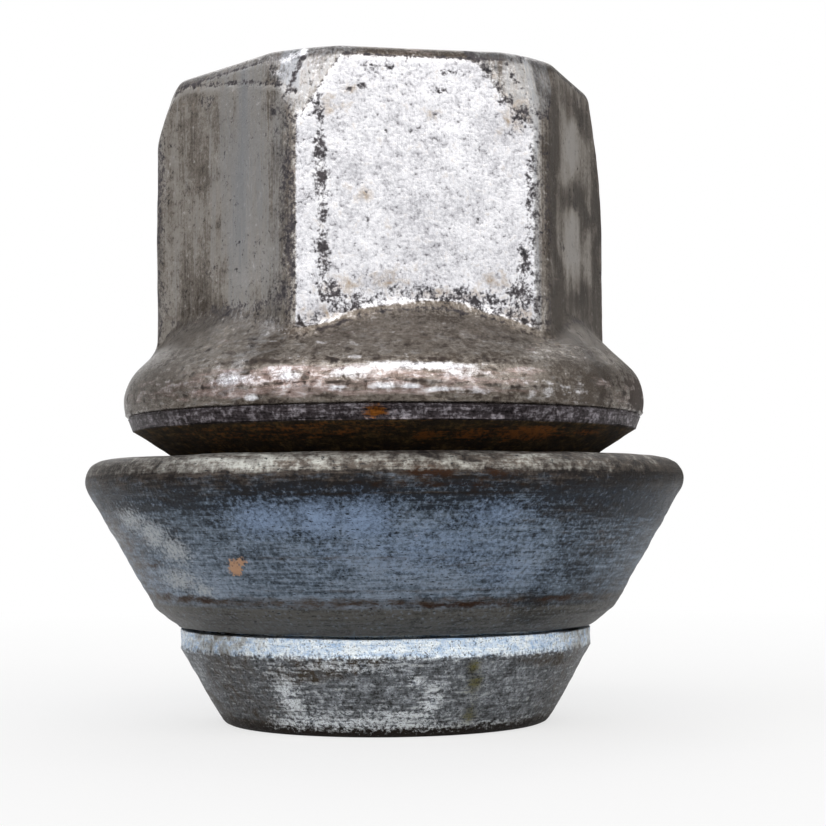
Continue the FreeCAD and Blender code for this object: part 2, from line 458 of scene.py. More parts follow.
# What the nose and the underside carry, by azimuth in degrees, with -90 in front, and by height
azimuth = np.degrees(np.angle(np.exp(1j * angle))) + 0 * nut_radii
patchy = rough_field(*nut_shape, 5, 12, 13)
olive = spots(azimuth, nut_heights, [
    (-76.5, 3.6, 2.0, 0.4, 0.8), (-75, 2.7, 2.4, 0.6, 0.7), (-74, 1.1, 2.6, 0.5, 0.7)])
bare = spots(azimuth, nut_heights, [
    (-129, 2.1, 4.5, 1.4, 0.8), (-96, 1.2, 20, 0.25, 0.6), (-87, 1.8, 3.5, 1.0, 0.8),
    (-92, 2.9, 2, 0.3, 0.9), (-82, 0.6, 40, 0.2, 0.5), (-110, 3.7, 14, 0.3, 0.6)])
bare = np.maximum(bare, 0.6 * ease(patchy, 0.3, 2.0))
brown = 0.5 * bell(np.abs(azimuth + 90), 60, 22) + 0.45 * ease(0.75 - nut_heights, 0, 0.3)
brown = np.maximum(brown, 0.55 * ease(rough_field(*nut_shape, 4, 9, 14), 0.6, 2.0))
rust = spots(azimuth, nut_heights, [
    (-90, 14.9, 5, 0.3, 0.7), (-80, 14.95, 6, 0.35, 0.9), (-66, 15.05, 10, 0.35, 1.1),
    (-48, 15.2, 7, 0.2, 0.7), (-102, 16.0, 2.4, 0.3, 1.3), (-118, 15.0, 8, 0.25, 0.5)])
under_flange = ease(nut_heights, 8, 14.3) * ease(15.7 - nut_heights, 0, 0.1)
rust = np.maximum(rust, 0.45 * under_flange * ease(patchy, 0.2, 2.0))
# Painted shade that dims the shoulder's highlight towards its left and right
shoulder_side_shade = 0.6 * bell(np.abs(azimuth + 92), 60, 20)

# Carbon steel is near black with scale and rust where it was left as forged, and dull grey with fine lines
# and dark pits where it was turned. The ground shoulder is painted almost white and pale blue: a painted
# highlight.
# Scales are per millimetre: patches 0.6 mm wide, specks 0.2, pits 0.08, and lines 0.14 apart, which are
# coarser than the real ones so that they show.
forged_material, tree = new_material("forged and machined carbon steel, worn and rusted")
place = add(tree, "TexCoord", output="Object")
place = add(tree, "Mapping", {"Vector": place, "Scale": (1 / MM,) * 3})
height = add(tree, "SeparateXYZ", {0: place}, "Z")
mottle = add(tree, "TexNoise", {
    "Vector": place, "Scale": 1.6, "Detail": 6.0, "Roughness": 0.65, "Distortion": 0.4})
fine = add(tree, "TexNoise", {"Vector": place, "Scale": 5.0, "Detail": 5.0, "Roughness": 0.7})
grain = add(tree, "TexNoise", {"Vector": place, "Scale": 13.0, "Detail": 3.0, "Roughness": 0.6})
lines = add(tree, "Mapping", {"Vector": place, "Scale": (0.7, 0.7, 7)})
lines = add(tree, "TexNoise", {"Vector": lines, "Scale": 1.0, "Detail": 5.0, "Roughness": 0.7})
tone = add(tree, "Math", {0: mottle, 1: fine}, operation="ADD")
tone = add(tree, "Math", {0: lines, 1: 0.8, 2: tone}, operation="MULTIPLY_ADD")
ragged = add(tree, "Math", {0: lines, 1: fine}, operation="ADD")
ragged = add(tree, "Math", {0: ragged, 1: 0.5}, operation="MULTIPLY")
low_tone = add(tree, "MapRange", {"Value": tone, "From Min": 1.15, "From Max": 1.42})
high_tone = add(tree, "MapRange", {"Value": tone, "From Min": 1.42, "From Max": 1.7})

# Dull grey taper, and above it the ground shoulder with a painted highlight, streaked, and painted shade at
# its sides
colour = add(tree, "Mix", {0: low_tone, 6: "#3e3f3f", 7: "#7d8186"}, 2, data_type="RGBA")
colour = add(tree, "Mix", {0: high_tone, 6: colour, 7: "#c4cad1"}, 2, data_type="RGBA")
bare_colour = add(tree, "Mix", {0: low_tone, 6: "#8a93a0", 7: "#eef3f7"}, 2, data_type="RGBA")
colour, share = lay_marks(tree, colour, (
    ("brown", mottle, 2.0, 0.25, "#4a4239"),
    ("bare", ragged, 4.0, 0.3, bare_colour),
    ("olive", ragged, 3.0, 0.3, "#6c6840"),
))
edge = add(tree, "Math", {0: fine, 1: 1.6, 2: height}, operation="MULTIPLY_ADD")
edge = add(tree, "MapRange", {"Value": edge, "From Min": 1.45, "From Max": 1.15})
colour = add(tree, "Mix", {0: edge, 6: colour, 7: "#2b2521"}, 2, data_type="RGBA")
pits = add(tree, "MapRange", {"Value": grain, "From Min": 0.42, "From Max": 0.36})
colour = add(tree, "Mix", {0: pits, 6: colour, 7: "#232324"}, 2, data_type="RGBA")
shoulder_highlight = add(tree, "MapRange", {"Value": tone, "From Min": 1.15, "From Max": 1.55})
shoulder_highlight = add(tree, "Mix", {0: shoulder_highlight, 6: "#a4c0e0", 7: "#f4fbff"}, 2, data_type="RGBA")
shoulder_highlight = add(tree, "Mix", {0: pits, 6: shoulder_highlight, 7: "#6a6c70"}, 2, data_type="RGBA")
cylinder = add(tree, "Math", {0: fine, 1: 1.3, 2: height}, operation="MULTIPLY_ADD")
cylinder = add(tree, "MapRange", {"Value": cylinder, "From Min": 4.65, "From Max": 4.9})
side_shade = add(tree, "Attribute", output="Fac", attribute_name="shoulder_side_shade")
side_shade = add(tree, "Math", {0: mottle, 1: 2.0, 2: side_shade}, operation="MULTIPLY_ADD")
side_shade = add(tree, "MapRange", {"Value": side_shade, "From Min": 1.3, "From Max": 1.8})
shoulder_highlight = add(tree, "Mix", {0: side_shade, 6: shoulder_highlight, 7: "#7d7b76"}, 2, data_type="RGBA")
colour = add(tree, "Mix", {0: cylinder, 6: colour, 7: shoulder_highlight}, 2, data_type="RGBA")

# Black scale and rust under the flange, and the bare rim above it
scale_colour = add(tree, "Mix", {0: low_tone, 6: "#120d09", 7: "#372915"}, 2, data_type="RGBA")
scale_colour = add(tree, "Mix", {0: high_tone, 6: scale_colour, 7: "#6e5934"}, 2, data_type="RGBA")
rim_colour = add(tree, "Mix", {0: low_tone, 6: "#1d191a", 7: "#4b4548"}, 2, data_type="RGBA")
rim_colour = add(tree, "Mix", {0: high_tone, 6: rim_colour, 7: "#b0abb2"}, 2, data_type="RGBA")
is_rim = add(tree, "MapRange", {"Value": height, "From Min": 15.6, "From Max": 15.68})
scale_colour = add(tree, "Mix", {0: is_rim, 6: scale_colour, 7: rim_colour}, 2, data_type="RGBA")
rusty = add(tree, "Attribute", output="Fac", attribute_name="rust")
rusty = add(tree, "Math", {0: ragged, 1: 4.0, 2: rusty}, operation="MULTIPLY_ADD")
rusty = add(tree, "MapRange", {"Value": rusty, "From Min": 2.4, "From Max": 2.8})
rust_colour = add(tree, "Mix", {0: low_tone, 6: "#3a2411", 7: "#835020"}, 2, data_type="RGBA")
scale_colour = add(tree, "Mix", {0: rusty, 6: scale_colour, 7: rust_colour}, 2, data_type="RGBA")
under = add(tree, "MapRange", {"Value": height, "From Min": 5.12, "From Max": 5.3})
colour = add(tree, "Mix", {0: under, 6: colour, 7: scale_colour}, 2, data_type="RGBA")

dull = add(tree, "Math", {0: under, 1: is_rim}, operation="SUBTRACT")
metallic = add(tree, "MapRange", {"Value": dull, "To Min": 0.95, "To Max": 0.3})
rough = add(tree, "MapRange", {"Value": dull, "To Min": 0.42, "To Max": 0.75})
rough = add(tree, "Math", {0: pits, 1: 0.3, 2: rough}, operation="MULTIPLY_ADD")
bump = add(tree, "Bump", {"Height": tone, "Strength": 0.5, "Distance": 0.1 * MM})
shader = add(tree, "BsdfPrincipled", {
    "Base Color": colour, "Metallic": metallic, "Roughness": rough, "Normal": bump})
add(tree, "OutputMaterial", {"Surface": shader})
marks = {"bare": bare, "olive": olive, "brown": brown, "rust": rust, "shoulder_side_shade": shoulder_side_shade}
forging = grid_piece("nut_body_forging", nut_points, marks, True, forged_material)
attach(forging, "nut")
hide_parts("nut_body")


# Seat washer.
# A thick turned steel ring, zinc coated, with a 60 degree cone outside and a countersunk bore. It was slid on
# the shank and its lower lip rolled into the groove, so it stays on and turns.
washer_low, washer_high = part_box("seat_washer")
washer_bottom = washer_low.z / MM
washer_top = washer_high.z / MM
washer_bore = 11.23
lip_inner = 10.6
lip_outer = 11.22
bend_radius = 12.46
foot_angle = math.radians(53.0)
seat_angle = math.radians(30.0)
bend_height = washer_bottom + (bend_radius - lip_outer) / math.tan(foot_angle)
rim_corner = bend_radius + (washer_top - bend_height) * math.tan(seat_angle)
washer_section = rounded_section([
    (lip_inner, washer_bottom, 0.08),
    (lip_outer, washer_bottom, 0.1),
    (bend_radius, bend_height, 1.5),
    (rim_corner, washer_top, 1.14),
    (washer_bore + 0.29, washer_top, 0.08),
    (washer_bore, washer_top - 0.18, 0.05),
    (washer_bore, 7.31, 0.1),
    (lip_inner, 6.05, 0.1),
], step=0.125)
washer_columns = 400
angle = np.linspace(0, 2 * math.pi, washer_columns, endpoint=False)[None]
washer_points = turned_grid(washer_section[:, :1], washer_section[:, 1:], angle)
washer_shape = washer_points.shape[:2]
scuff_depth = 0.01
scuff = rough_field(*washer_shape, 1.0, 6, 21) + rough_field(*washer_shape, 3, 4, 22)
sunk = scuff_depth * (3 - np.clip(scuff, -3, 3))
washer_points -= outward(washer_points) * sunk[..., None]

# Wear and dirt by azimuth and height: the rim and lower bend are worn and brown, the cone's left is scuffed
azimuth = np.degrees(np.angle(np.exp(1j * angle))) + 0 * washer_section[:, :1]
height_at = washer_section[:, 1:] + 0 * angle
patchy = rough_field(*washer_shape, 8, 14, 23)
worn = spots(azimuth, height_at, [
    (-118, 13.8, 9, 0.5, 0.6), (-104, 13.8, 8, 0.5, 0.6), (-88, 13.95, 6, 0.35, 0.5),
    (-76, 13.7, 10, 0.5, 0.75), (-60, 13.7, 8, 0.4, 0.6), (-42, 13.6, 8, 0.3, 0.45)])
worn = np.maximum(worn, ease(height_at, 12.95, 13.35) * (0.5 + 0.2 * patchy))
worn -= spots(azimuth, height_at, [(-156, 13.6, 18, 1.5, 0.45)])
scuffed = spots(azimuth, height_at, [
    (-158, 10.9, 7, 0.7, 0.7), (-152, 10.2, 6, 0.9, 0.75), (-147, 9.4, 5, 0.8, 0.75),
    (-150, 7.9, 8, 0.7, 0.7), (-143, 7.4, 4, 0.4, 0.65)])
scuffed = np.maximum(scuffed, 0.5 * ease(patchy, 0.9, 2.4)) * ease(13.0 - height_at, 0, 0.5)
# Paler blue painted in the middle of the cone as its highlight, and a faint blue tint of the zinc round the
# back
blue_zinc_and_painted_highlight = spots(azimuth, height_at, [
    (-122, 10.9, 8, 0.9, 0.7), (-112, 10.9, 5, 1.0, 0.8), (-104, 10.8, 6, 1.1, 0.8),
    (-80, 11.0, 8, 0.8, 0.5), (-92, 9.6, 26, 1.6, 0.42), (-76, 8.4, 12, 1.0, 0.38)])
blue_zinc_and_painted_highlight = np.maximum(blue_zinc_and_painted_highlight, 0.2 * ease(np.abs(azimuth + 90), 70, 100))
film = 0.7 * ease(height_at, 11.6, 12.7) + 0.7 * bell(height_at, 6.85, 0.3)
film += 0.4 * ease(height_at, 12.9, 13.3)
film = np.maximum(film, spots(azimuth, height_at, [
    (-170, 9.5, 14, 4, 0.55), (-8, 9, 16, 4, 0.5), (-60, 11.3, 14, 0.8, 0.5), (-140, 12.0, 9, 0.5, 0.5),
    (-52, 9.6, 9, 1.2, 0.3), (-100, 12.1, 50, 0.12, 0.75), (-112, 9.05, 22, 0.07, 0.6),
    (-84, 8.7, 20, 0.06, 0.6), (-96, 7.45, 40, 0.08, 0.5)]))
brown = spots(azimuth, height_at, [
    (-92.5, 13.1, 4, 0.35, 1.0), (-81, 13.0, 5, 0.3, 0.6), (-90, 12.5, 14, 0.3, 0.5),
    (-150, 6.95, 14, 0.22, 0.7), (-100, 6.8, 14, 0.16, 0.5), (-82, 6.75, 14, 0.2, 0.65),
    (-58, 6.9, 8, 0.3, 0.7), (-158, 8.6, 5, 0.12, 0.6)])
brown = np.maximum(brown, 0.5 * ease(patchy, 0.6, 2.2) * (1 - ease(np.abs(height_at - 6.85), 0.1, 0.4)))
rust = spots(azimuth, height_at, [(-131.8, 8.55, 1.7, 0.45, 1.1), (-129.8, 8.9, 1.2, 0.25, 0.8)])

outer = ease(washer_section[:, :1], 13.8, 15.0)
worn = worn * outer - 0.9 * (1 - outer * ease(height_at, 12.9, 13.3))
# Painted light and shade on the cone: paler low down, darker towards its top, lighter again at the rim, a
# diagonal painted shadow on its right, and random patches
tone_and_painted_light = 0.3 * ease(10.5 - height_at, 0, 2) - 1.0 * ease(height_at, 10.3, 12) + 0.15 * patchy
tone_and_painted_light += 0.5 * ease(height_at, 12.4, 13.0)
tone_and_painted_light -= 0.6 * ease(azimuth - 2 * (height_at - 9), -68, -62) * (1 - ease(azimuth, -20, 20))

# Zinc on turned steel is dull blue-grey with fine lines round it. It has gone from the rim, where the steel
# is pale and dirty, and brown stains and a spot of rust have come through it.
# Scales are per millimetre: clouds 2.5 mm wide, patches 0.7, specks 0.2, and lines 0.17 apart, which are
# coarser than the tool's real marks so that they show.
washer_material, tree = new_material("turned steel with dull zinc, rusty at its edges")
place = add(tree, "TexCoord", output="Object")
place = add(tree, "Mapping", {"Vector": place, "Scale": (1 / MM,) * 3})
height = add(tree, "SeparateXYZ", {0: place}, "Z")
mottle = add(tree, "TexNoise", {
    "Vector": place, "Scale": 1.5, "Detail": 6.0, "Roughness": 0.65, "Distortion": 0.5})
fine = add(tree, "TexNoise", {"Vector": place, "Scale": 5.0, "Detail": 5.0, "Roughness": 0.7})
grain = add(tree, "Mapping", {"Vector": place, "Scale": (4, 4, 14)})
grain = add(tree, "TexNoise", {"Vector": grain, "Scale": 1.0, "Detail": 3.0, "Roughness": 0.6})
lines = add(tree, "Mapping", {"Vector": place, "Scale": (0.4, 0.4, 6)})
lines = add(tree, "TexNoise", {"Vector": lines, "Scale": 1.0, "Detail": 6.0, "Roughness": 0.7})
smears = add(tree, "Mapping", {"Vector": place, "Scale": (1.1, 1.1, 3.2)})
smears = add(tree, "TexNoise", {"Vector": smears, "Scale": 1.0, "Detail": 6.0, "Roughness": 0.7})
cloud = add(tree, "TexNoise", {
    "Vector": place, "Scale": 0.4, "Detail": 5.0, "Roughness": 0.6, "Distortion": 0.6})
tone = add(tree, "Math", {0: cloud, 1: 0.5, 2: lines}, operation="MULTIPLY_ADD")
tone = add(tree, "Math", {0: fine, 1: 0.8, 2: tone}, operation="MULTIPLY_ADD")
tone = add(tree, "Math", {0: mottle, 1: 0.5, 2: tone}, operation="MULTIPLY_ADD")
tone_and_light_mark = add(tree, "Attribute", output="Fac", attribute_name="tone_and_painted_light")
tone = add(tree, "Math", {0: tone_and_light_mark, 1: 0.25, 2: tone}, operation="MULTIPLY_ADD")
low_tone = add(tree, "MapRange", {"Value": tone, "From Min": 1.17, "From Max": 1.45})
high_tone = add(tree, "MapRange", {"Value": tone, "From Min": 1.4, "From Max": 1.68})

# Dull zinc on the cone, then a painted blue highlight, its wear, stains and rust
colour = add(tree, "Mix", {0: low_tone, 6: "#2a2f36", 7: "#64707d"}, 2, data_type="RGBA")
colour = add(tree, "Mix", {0: high_tone, 6: colour, 7: "#8d99a8"}, 2, data_type="RGBA")
foot = add(tree, "MapRange", {"Value": height, "From Min": 6.75, "From Max": 6.5})
foot_colour = add(tree, "Mix", {0: low_tone, 6: "#333230", 7: "#5f5e5b"}, 2, data_type="RGBA")
colour = add(tree, "Mix", {0: foot, 6: colour, 7: foot_colour}, 2, data_type="RGBA")
film_colour = add(tree, "Mix", {0: low_tone, 6: "#262322", 7: "#514a45"}, 2, data_type="RGBA")
worn_colour = add(tree, "Mix", {0: low_tone, 6: "#766d65", 7: "#bdbeb8"}, 2, data_type="RGBA")
colour, share = lay_marks(tree, colour, (
    ("blue_zinc_and_painted_highlight", fine, 2.0, 0.4, "#889cb8"),
    ("scuffed", fine, 2.0, 0.25, "#a6abaf"),
    ("film", smears, 2.0, 0.3, film_colour),
    ("brown", smears, 2.0, 0.2, "#33231a"),
    ("worn", mottle, 3.0, 0.6, worn_colour),
    ("rust", fine, 2.0, 0.1, "#ae8768"),
))
pits = add(tree, "MapRange", {"Value": grain, "From Min": 0.39, "From Max": 0.33})
colour = add(tree, "Mix", {0: pits, 6: colour, 7: "#25282c"}, 2, data_type="RGBA")

metallic = add(tree, "MapRange", {"Value": share, "To Min": 0.95, "To Max": 0.3})
rough = add(tree, "Math", {0: mottle, 1: 0.4, 2: 0.25}, operation="MULTIPLY_ADD")
bump = add(tree, "Bump", {"Height": tone, "Strength": 0.5, "Distance": 0.1 * MM})
shader = add(tree, "BsdfPrincipled", {
    "Base Color": colour, "Metallic": metallic, "Roughness": rough, "Normal": bump})
add(tree, "OutputMaterial", {"Surface": shader})
marks = {
    "tone_and_painted_light": tone_and_painted_light, "worn": worn, "scuffed": scuffed, "blue_zinc_and_painted_highlight": blue_zinc_and_painted_highlight, "film": film, "brown": brown,
    "rust": rust}
ring = grid_piece("seat_washer_ring", washer_points, marks, True, washer_material)
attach(ring, "washer")
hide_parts("seat_washer")


# Cap.
# Half a millimetre of stainless sheet, deep drawn over the forged hexagon and rolled in under the flange.
# Its corners are worn towards the closed end, and grime and painted shade lie in its corners and along the
# foot.
cap_columns = 450
angle = np.linspace(0, 2 * math.pi, cap_columns, endpoint=False)[None]
top_edge = 0.8
corner_knees = [27.9, 30.8, 30.8, 31.0, 30.6, 30.9]
corner_slopes = [11.9, 14.0, 14.0, 18.0, 15.0, 14.0]
corner_angles = np.radians([0, 60, 120, 180, 240, 300])
knee = np.interp(angle, corner_angles, corner_knees, period=2 * math.pi)
slope = np.tan(np.radians(np.interp(angle, corner_angles, corner_slopes, period=2 * math.pi)))

# The wall from the lip up, the rounded edge, which leans with the crown at the corners, and the closed end
wall_low = lip_height + 0.2
wall_top = overall_height - top_edge
wall_heights = wall_low + (wall_top - wall_low) * np.linspace(0, 1, 120)[:, None] + 0 * angle
wall_radii = capped_reach(angle, wall_heights, 0, knee, slope)
lean = crown_angle * np.clip((hexagon_reach(angle, 0) - wall_radii[-1]) / 0.4, 0, 1)
turn = lean + (math.pi / 2 - lean) * np.linspace(0, 1, 10)[1:, None]
edge_radii = wall_radii[-1] - top_edge * np.cos(lean) + top_edge * np.cos(turn)
edge_heights = wall_top + top_edge * (np.sin(turn) - np.sin(lean)) / (1 - np.sin(lean))
end_radii = edge_radii[-1] * np.linspace(1, 0, 28)[1:, None]
end_heights = np.full_like(end_radii, overall_height)

# The sheet's inner face, and the half round of its lip that joins the two
lip_radius = sheet_thickness / 2
lip_turn = np.linspace(0, math.pi, 7)[1:-1, None]
lip_radii = wall_radii[0] - lip_radius + lip_radius * np.cos(lip_turn)
lip_heights = lip_height + lip_radius - lip_radius * np.sin(lip_turn) + 0 * angle
inner_heights = np.linspace(wall_low, core_top - core_edge, 30)[:, None] + 0 * angle
inner_knee = overall_height - crown_depth - sheet_thickness * math.tan(crown_angle / 2)
inner_slope = np.maximum(slope, crown_slope)
inner_radii = capped_reach(angle, inner_heights, sheet_thickness, inner_knee, inner_slope)
inner_end_radii = (inner_radii[-1] - core_edge) * np.array([1, 0.5, 0])[:, None]
inner_end_heights = np.full_like(inner_end_radii, core_top)
inside_radii = np.concatenate([inner_end_radii[::-1], inner_radii[::-1], lip_radii[::-1]])
inside_heights = np.concatenate([inner_end_heights[::-1], inner_heights[::-1], lip_heights[::-1]])
cap_radii = np.concatenate([inside_radii, wall_radii, edge_radii, end_radii])
cap_heights = np.concatenate([inside_heights, wall_heights, edge_heights, end_heights])
cap_points = turned_grid(cap_radii, cap_heights, angle)

# Where each point lies: how far from the middle of its flat, and whether on crown, skirt or closed end
degrees = np.degrees(np.angle(np.exp(1j * angle))) + 0 * cap_radii
across = cap_radii * np.sin(np.radians(np.mod(degrees, 60) - 30))
is_front = np.abs(degrees + 90) < 30
is_right = np.abs(degrees + 30) < 30
is_left = np.abs(degrees + 150) < 30
is_back = degrees > 0
behind = 1 - ease(np.abs(degrees - 90), 84, 92)
cap_shape = cap_radii.shape
broad = rough_field(*cap_shape, 9, 14, 41)
middle = rough_field(*cap_shape, 3, 3.5, 42)
wall_part = hexagon_reach(angle, 0) + 0 * cap_radii
skirt_part = skirt_reach(cap_heights, 0)
crowned = ease(wall_part - cap_radii, 0.005, 0.08)
skirted = ease(skirt_part - wall_part + 0.07 * middle, -0.4, -0.1)
closed_end = ease(cap_heights, overall_height - 0.35, overall_height - 0.1)
top_band = ease(cap_heights, overall_height - 0.75, overall_height - 0.45) * ease(cap_radii, 8.6, 9.8)
middle_end = closed_end * (1 - ease(cap_radii, 8.8, 9.9))
off_skirt = 1 - skirted
off_end = 1 - closed_end
off_top = (1 - top_band) * off_end

# The front flat and its left corner are bare metal, painted bright partly as the light that falls on them.
# Its upper right corner is a worn facet with a dirty edge
front_bare_and_lit = ease(degrees, -120.9, -119.9) * (1 - ease(degrees, -63.4, -61.8)) * off_skirt * off_top
corner_edge = np.interp(
    across, [2.0, 2.6, 3.4, 4.2, 4.9, 5.7, 6.3], [34.6, 33.6, 32.8, 32.0, 31.1, 30.3, 29.5])
above_edge = cap_heights - corner_edge + 0.12 * middle
facet = crowned * ease(np.abs(across), 2.6, 3.6)
facet = np.maximum(facet, is_front * ease(above_edge, -0.2, 0.3))
corner_dirt = is_front * (across > 1.5) * bell(above_edge, 0.35, 0.4)
corner = bell(np.abs(across), 6.2, 0.8) * off_skirt

# How light the film is: drawn out in lines up the walls, and mottled on the skirt and the facets; lighter on
# the back, darker over the skirt, the top edge and the crown, and with painted light and shade on the side
# flats
drawn = rough_field(*cap_shape, 26, 1.6, 44) + 0.6 * rough_field(*cap_shape, 14, 0.8, 45)
drawn *= off_skirt * off_top
wavy_across = across + 0.5 * broad + 0.3 * middle
wavy_heights = cap_heights - 0.45 * broad + 0.25 * middle
tone_and_painted_light = 0.12 * broad + np.where(is_right, 0.2, 0.14) * drawn
tone_and_painted_light += behind * off_skirt * off_end * (0.2 + 0.6 * ease(broad + 0.5 * drawn, -0.5, 1.5))
# Painted reflections on the right flat: two lighter patches, and painted shade in a band between them, at its
# corners, its top, its foot and its far edge
tone_and_painted_light += is_right * spots(wavy_across, wavy_heights, [
    (-1.2, 30.4, 2.2, 1.7, 1.9), (-1.5, 25.2, 2.2, 1.4, 1.8)])
tone_and_painted_light -= is_right * spots(wavy_across, wavy_heights, [
    (2, 27.5, 7, 0.75, 1.3), (-5.3, 26, 0.9, 12, 1.2), (0, 32.6, 5, 0.8, 0.8), (0, 22.3, 6, 0.9, 0.9),
    (4.6, 27, 1.2, 6, 0.8)])
# Painted light and shade on the left flat: lighter in the middle and overall, darker in strips at both
# corners and along its foot
tone_and_painted_light += is_left * (spots(across, cap_heights, [(1.8, 28, 2.0, 7, 1.1)]) + 0.3 * off_skirt)
tone_and_painted_light -= is_left * spots(across, cap_heights, [
    (5.6, 26, 0.55, 9, 0.8), (-6.0, 26, 0.7, 9, 0.8), (1, 21.6, 7, 0.8, 0.7)])
skirt_right = skirted * ease(degrees, -60, -46) * (1 - ease(degrees, 20, 60))
tone_and_painted_light += 0.22 * middle * (skirt_right + facet * off_end)
tone_and_painted_light -= 0.3 * skirted + 0.5 * top_band + 0.15 * crowned * off_end
tone_and_painted_light += 0.3 * facet * (np.abs(degrees + 90) < 34) * off_top

# The flange's rolled edge carries a painted highlight, brightest in a band under a thin crease of painted
# shade, and its bare worn patches partly stand in for the highlight too
crease_height = 18.45
in_band = ease(degrees, -150, -138) * (1 - ease(degrees, -76, -60)) * skirted
crease_shade = in_band * bell(cap_heights, crease_height + 0.1, 0.1)
seam = in_band * bell(cap_heights, 17.4, 0.1)
tone_and_painted_light += 0.45 * in_band * ease(crease_height - cap_heights, 0, 0.12) * ease(cap_heights, 16.8, 17.3)
flange_wear_and_highlight = bell(cap_heights, 17.75, 0.7) * (0.2 + 0.2 * behind + 0.1 * broad)
flange_wear_and_highlight = np.maximum(flange_wear_and_highlight, spots(degrees, cap_heights, [
    (-93, 18.2, 13, 0.22, 1.0), (-132, 17.8, 6, 0.35, 0.7), (-119, 17.8, 4, 0.35, 0.75),
    (-107, 17.9, 5, 0.4, 0.75), (-126.5, 16.8, 2, 0.13, 0.9), (-109, 17.15, 2, 0.15, 0.9),
    (-100, 17.2, 3.5, 0.15, 0.85), (-95, 17.2, 2.5, 0.15, 0.9), (-89, 17.05, 3.5, 0.13, 0.85),
    (-82, 16.95, 4, 0.12, 0.75), (-84, 17.9, 8, 0.3, 0.5), (-66, 17.2, 9, 0.5, 0.3)]))
flange_wear_and_highlight *= 1 - 0.9 * ease(degrees, -58, -48) * (1 - ease(degrees, -10, 20))
# Painted glints along the top edge at the front flat's left corner
painted_glint = spots(degrees, cap_heights, [
    (-120.3, 34.1, 1.2, 0.18, 0.95), (-122.3, 33.95, 1.5, 0.18, 0.95), (-124.5, 33.75, 1.6, 0.2, 0.8),
    (-127, 33.1, 1.8, 0.3, 0.4)])
worn_back = np.maximum(0.4 * corner, 0.42 * ease(broad + 0.5 * drawn, 0, 2) * off_skirt)
worn_back = behind * worn_back * off_end + 0.12 * middle_end
is_bare = front_bare_and_lit * (1 - 0.85 * facet)
is_bare = np.maximum.reduce([is_bare, 0.1 * broad - 0.1, skirted * flange_wear_and_highlight, painted_glint])
is_bare = np.clip(np.maximum(is_bare * (1 - middle_end), worn_back), -0.2, 1)

# Grime and painted shade: dark specks in the front flat's corners and foot, thin dirt and painted shade along
# every edge, and a painted dark band across the right flat
specks = spots(across, cap_heights, [
    (-5.05, 26.6, 0.3, 6.0, 0.58), (-5.15, 31.0, 0.5, 1.0, 0.55), (-5.1, 29.2, 0.42, 0.9, 0.75),
    (-5.05, 27.6, 0.45, 1.1, 0.8), (-5.0, 25.8, 0.35, 0.8, 0.7), (-4.95, 23.9, 0.42, 1.3, 0.75),
    (-4.7, 22.0, 0.9, 0.7, 0.75), (-3.4, 21.7, 1.2, 0.35, 0.6), (5.2, 23.7, 0.55, 1.3, 0.68),
    (5.0, 22.0, 0.9, 0.9, 0.75), (5.5, 27.0, 0.35, 3.5, 0.52), (-2.95, 32.25, 0.35, 0.25, 0.7),
    (-3.6, 32.1, 0.3, 0.2, 0.7), (1.0, 32.2, 0.35, 0.25, 0.55), (0.65, 30.9, 0.25, 0.35, 0.5),
    (-2.85, 26.95, 0.25, 0.22, 0.7), (1.45, 25.1, 0.5, 0.12, 0.5), (4.1, 31.9, 0.8, 0.5, 0.5),
    (4.9, 30.9, 0.7, 1.2, 0.5), (1.3, 33.1, 1.2, 0.2, 0.52), (-2.2, 33.3, 1.4, 0.25, 0.52)])
above_foot = np.clip(wall_part - skirt_part, 0, None)
foot_dirt = bell(above_foot, 0.4, 1.1) * (0.5 + 0.1 * middle + 0.06 * broad)
specks = np.maximum(specks, foot_dirt)
edge_dirt_and_shade = 0.45 * bell(np.abs(across), 5.9, 0.55) * off_skirt + 0.42 * bell(skirted, 0.4, 0.45)
edge_dirt_and_shade = edge_dirt_and_shade * (0.8 + 0.2 * broad) * off_end * (1 - 0.6 * crowned) * (1 - 0.5 * is_back)
left_specks = spots(across, cap_heights, [
    (5.3, 22.0, 1.3, 1.0, 0.6), (2.0, 21.6, 4.5, 0.5, 0.5), (4.8, 31.2, 0.9, 0.8, 0.5),
    (1.6, 24.9, 0.9, 0.3, 0.4), (1.5, 23.8, 0.15, 0.4, 0.5), (-5.4, 29.5, 0.5, 2.5, 0.5),
    (5.4, 27.0, 0.6, 4.0, 0.5), (-5.0, 22.5, 0.9, 1.2, 0.45), (-3.1, 28.7, 0.2, 0.2, 0.5)])
right_specks_and_band_shade = spots(across, cap_heights, [
    (0.8, 32.0, 0.5, 0.12, 0.7), (-0.7, 32.8, 0.5, 0.12, 0.7), (0, 27.4, 9, 0.5, 0.3)])
grime_and_painted_shade = np.where(is_bare * front_bare_and_lit > 0.5, np.maximum(specks, 0.15 * edge_dirt_and_shade), edge_dirt_and_shade)
grime_and_painted_shade = np.where(is_left, np.maximum(grime_and_painted_shade, left_specks), grime_and_painted_shade)
grime_and_painted_shade = np.where(is_right, np.maximum(grime_and_painted_shade, right_specks_and_band_shade), grime_and_painted_shade)
grime_and_painted_shade = np.maximum(grime_and_painted_shade, 0.4 * ease(middle, 1.0, 2.6) * (1 - 0.5 * front_bare_and_lit) * (1 - 0.6 * skirted))

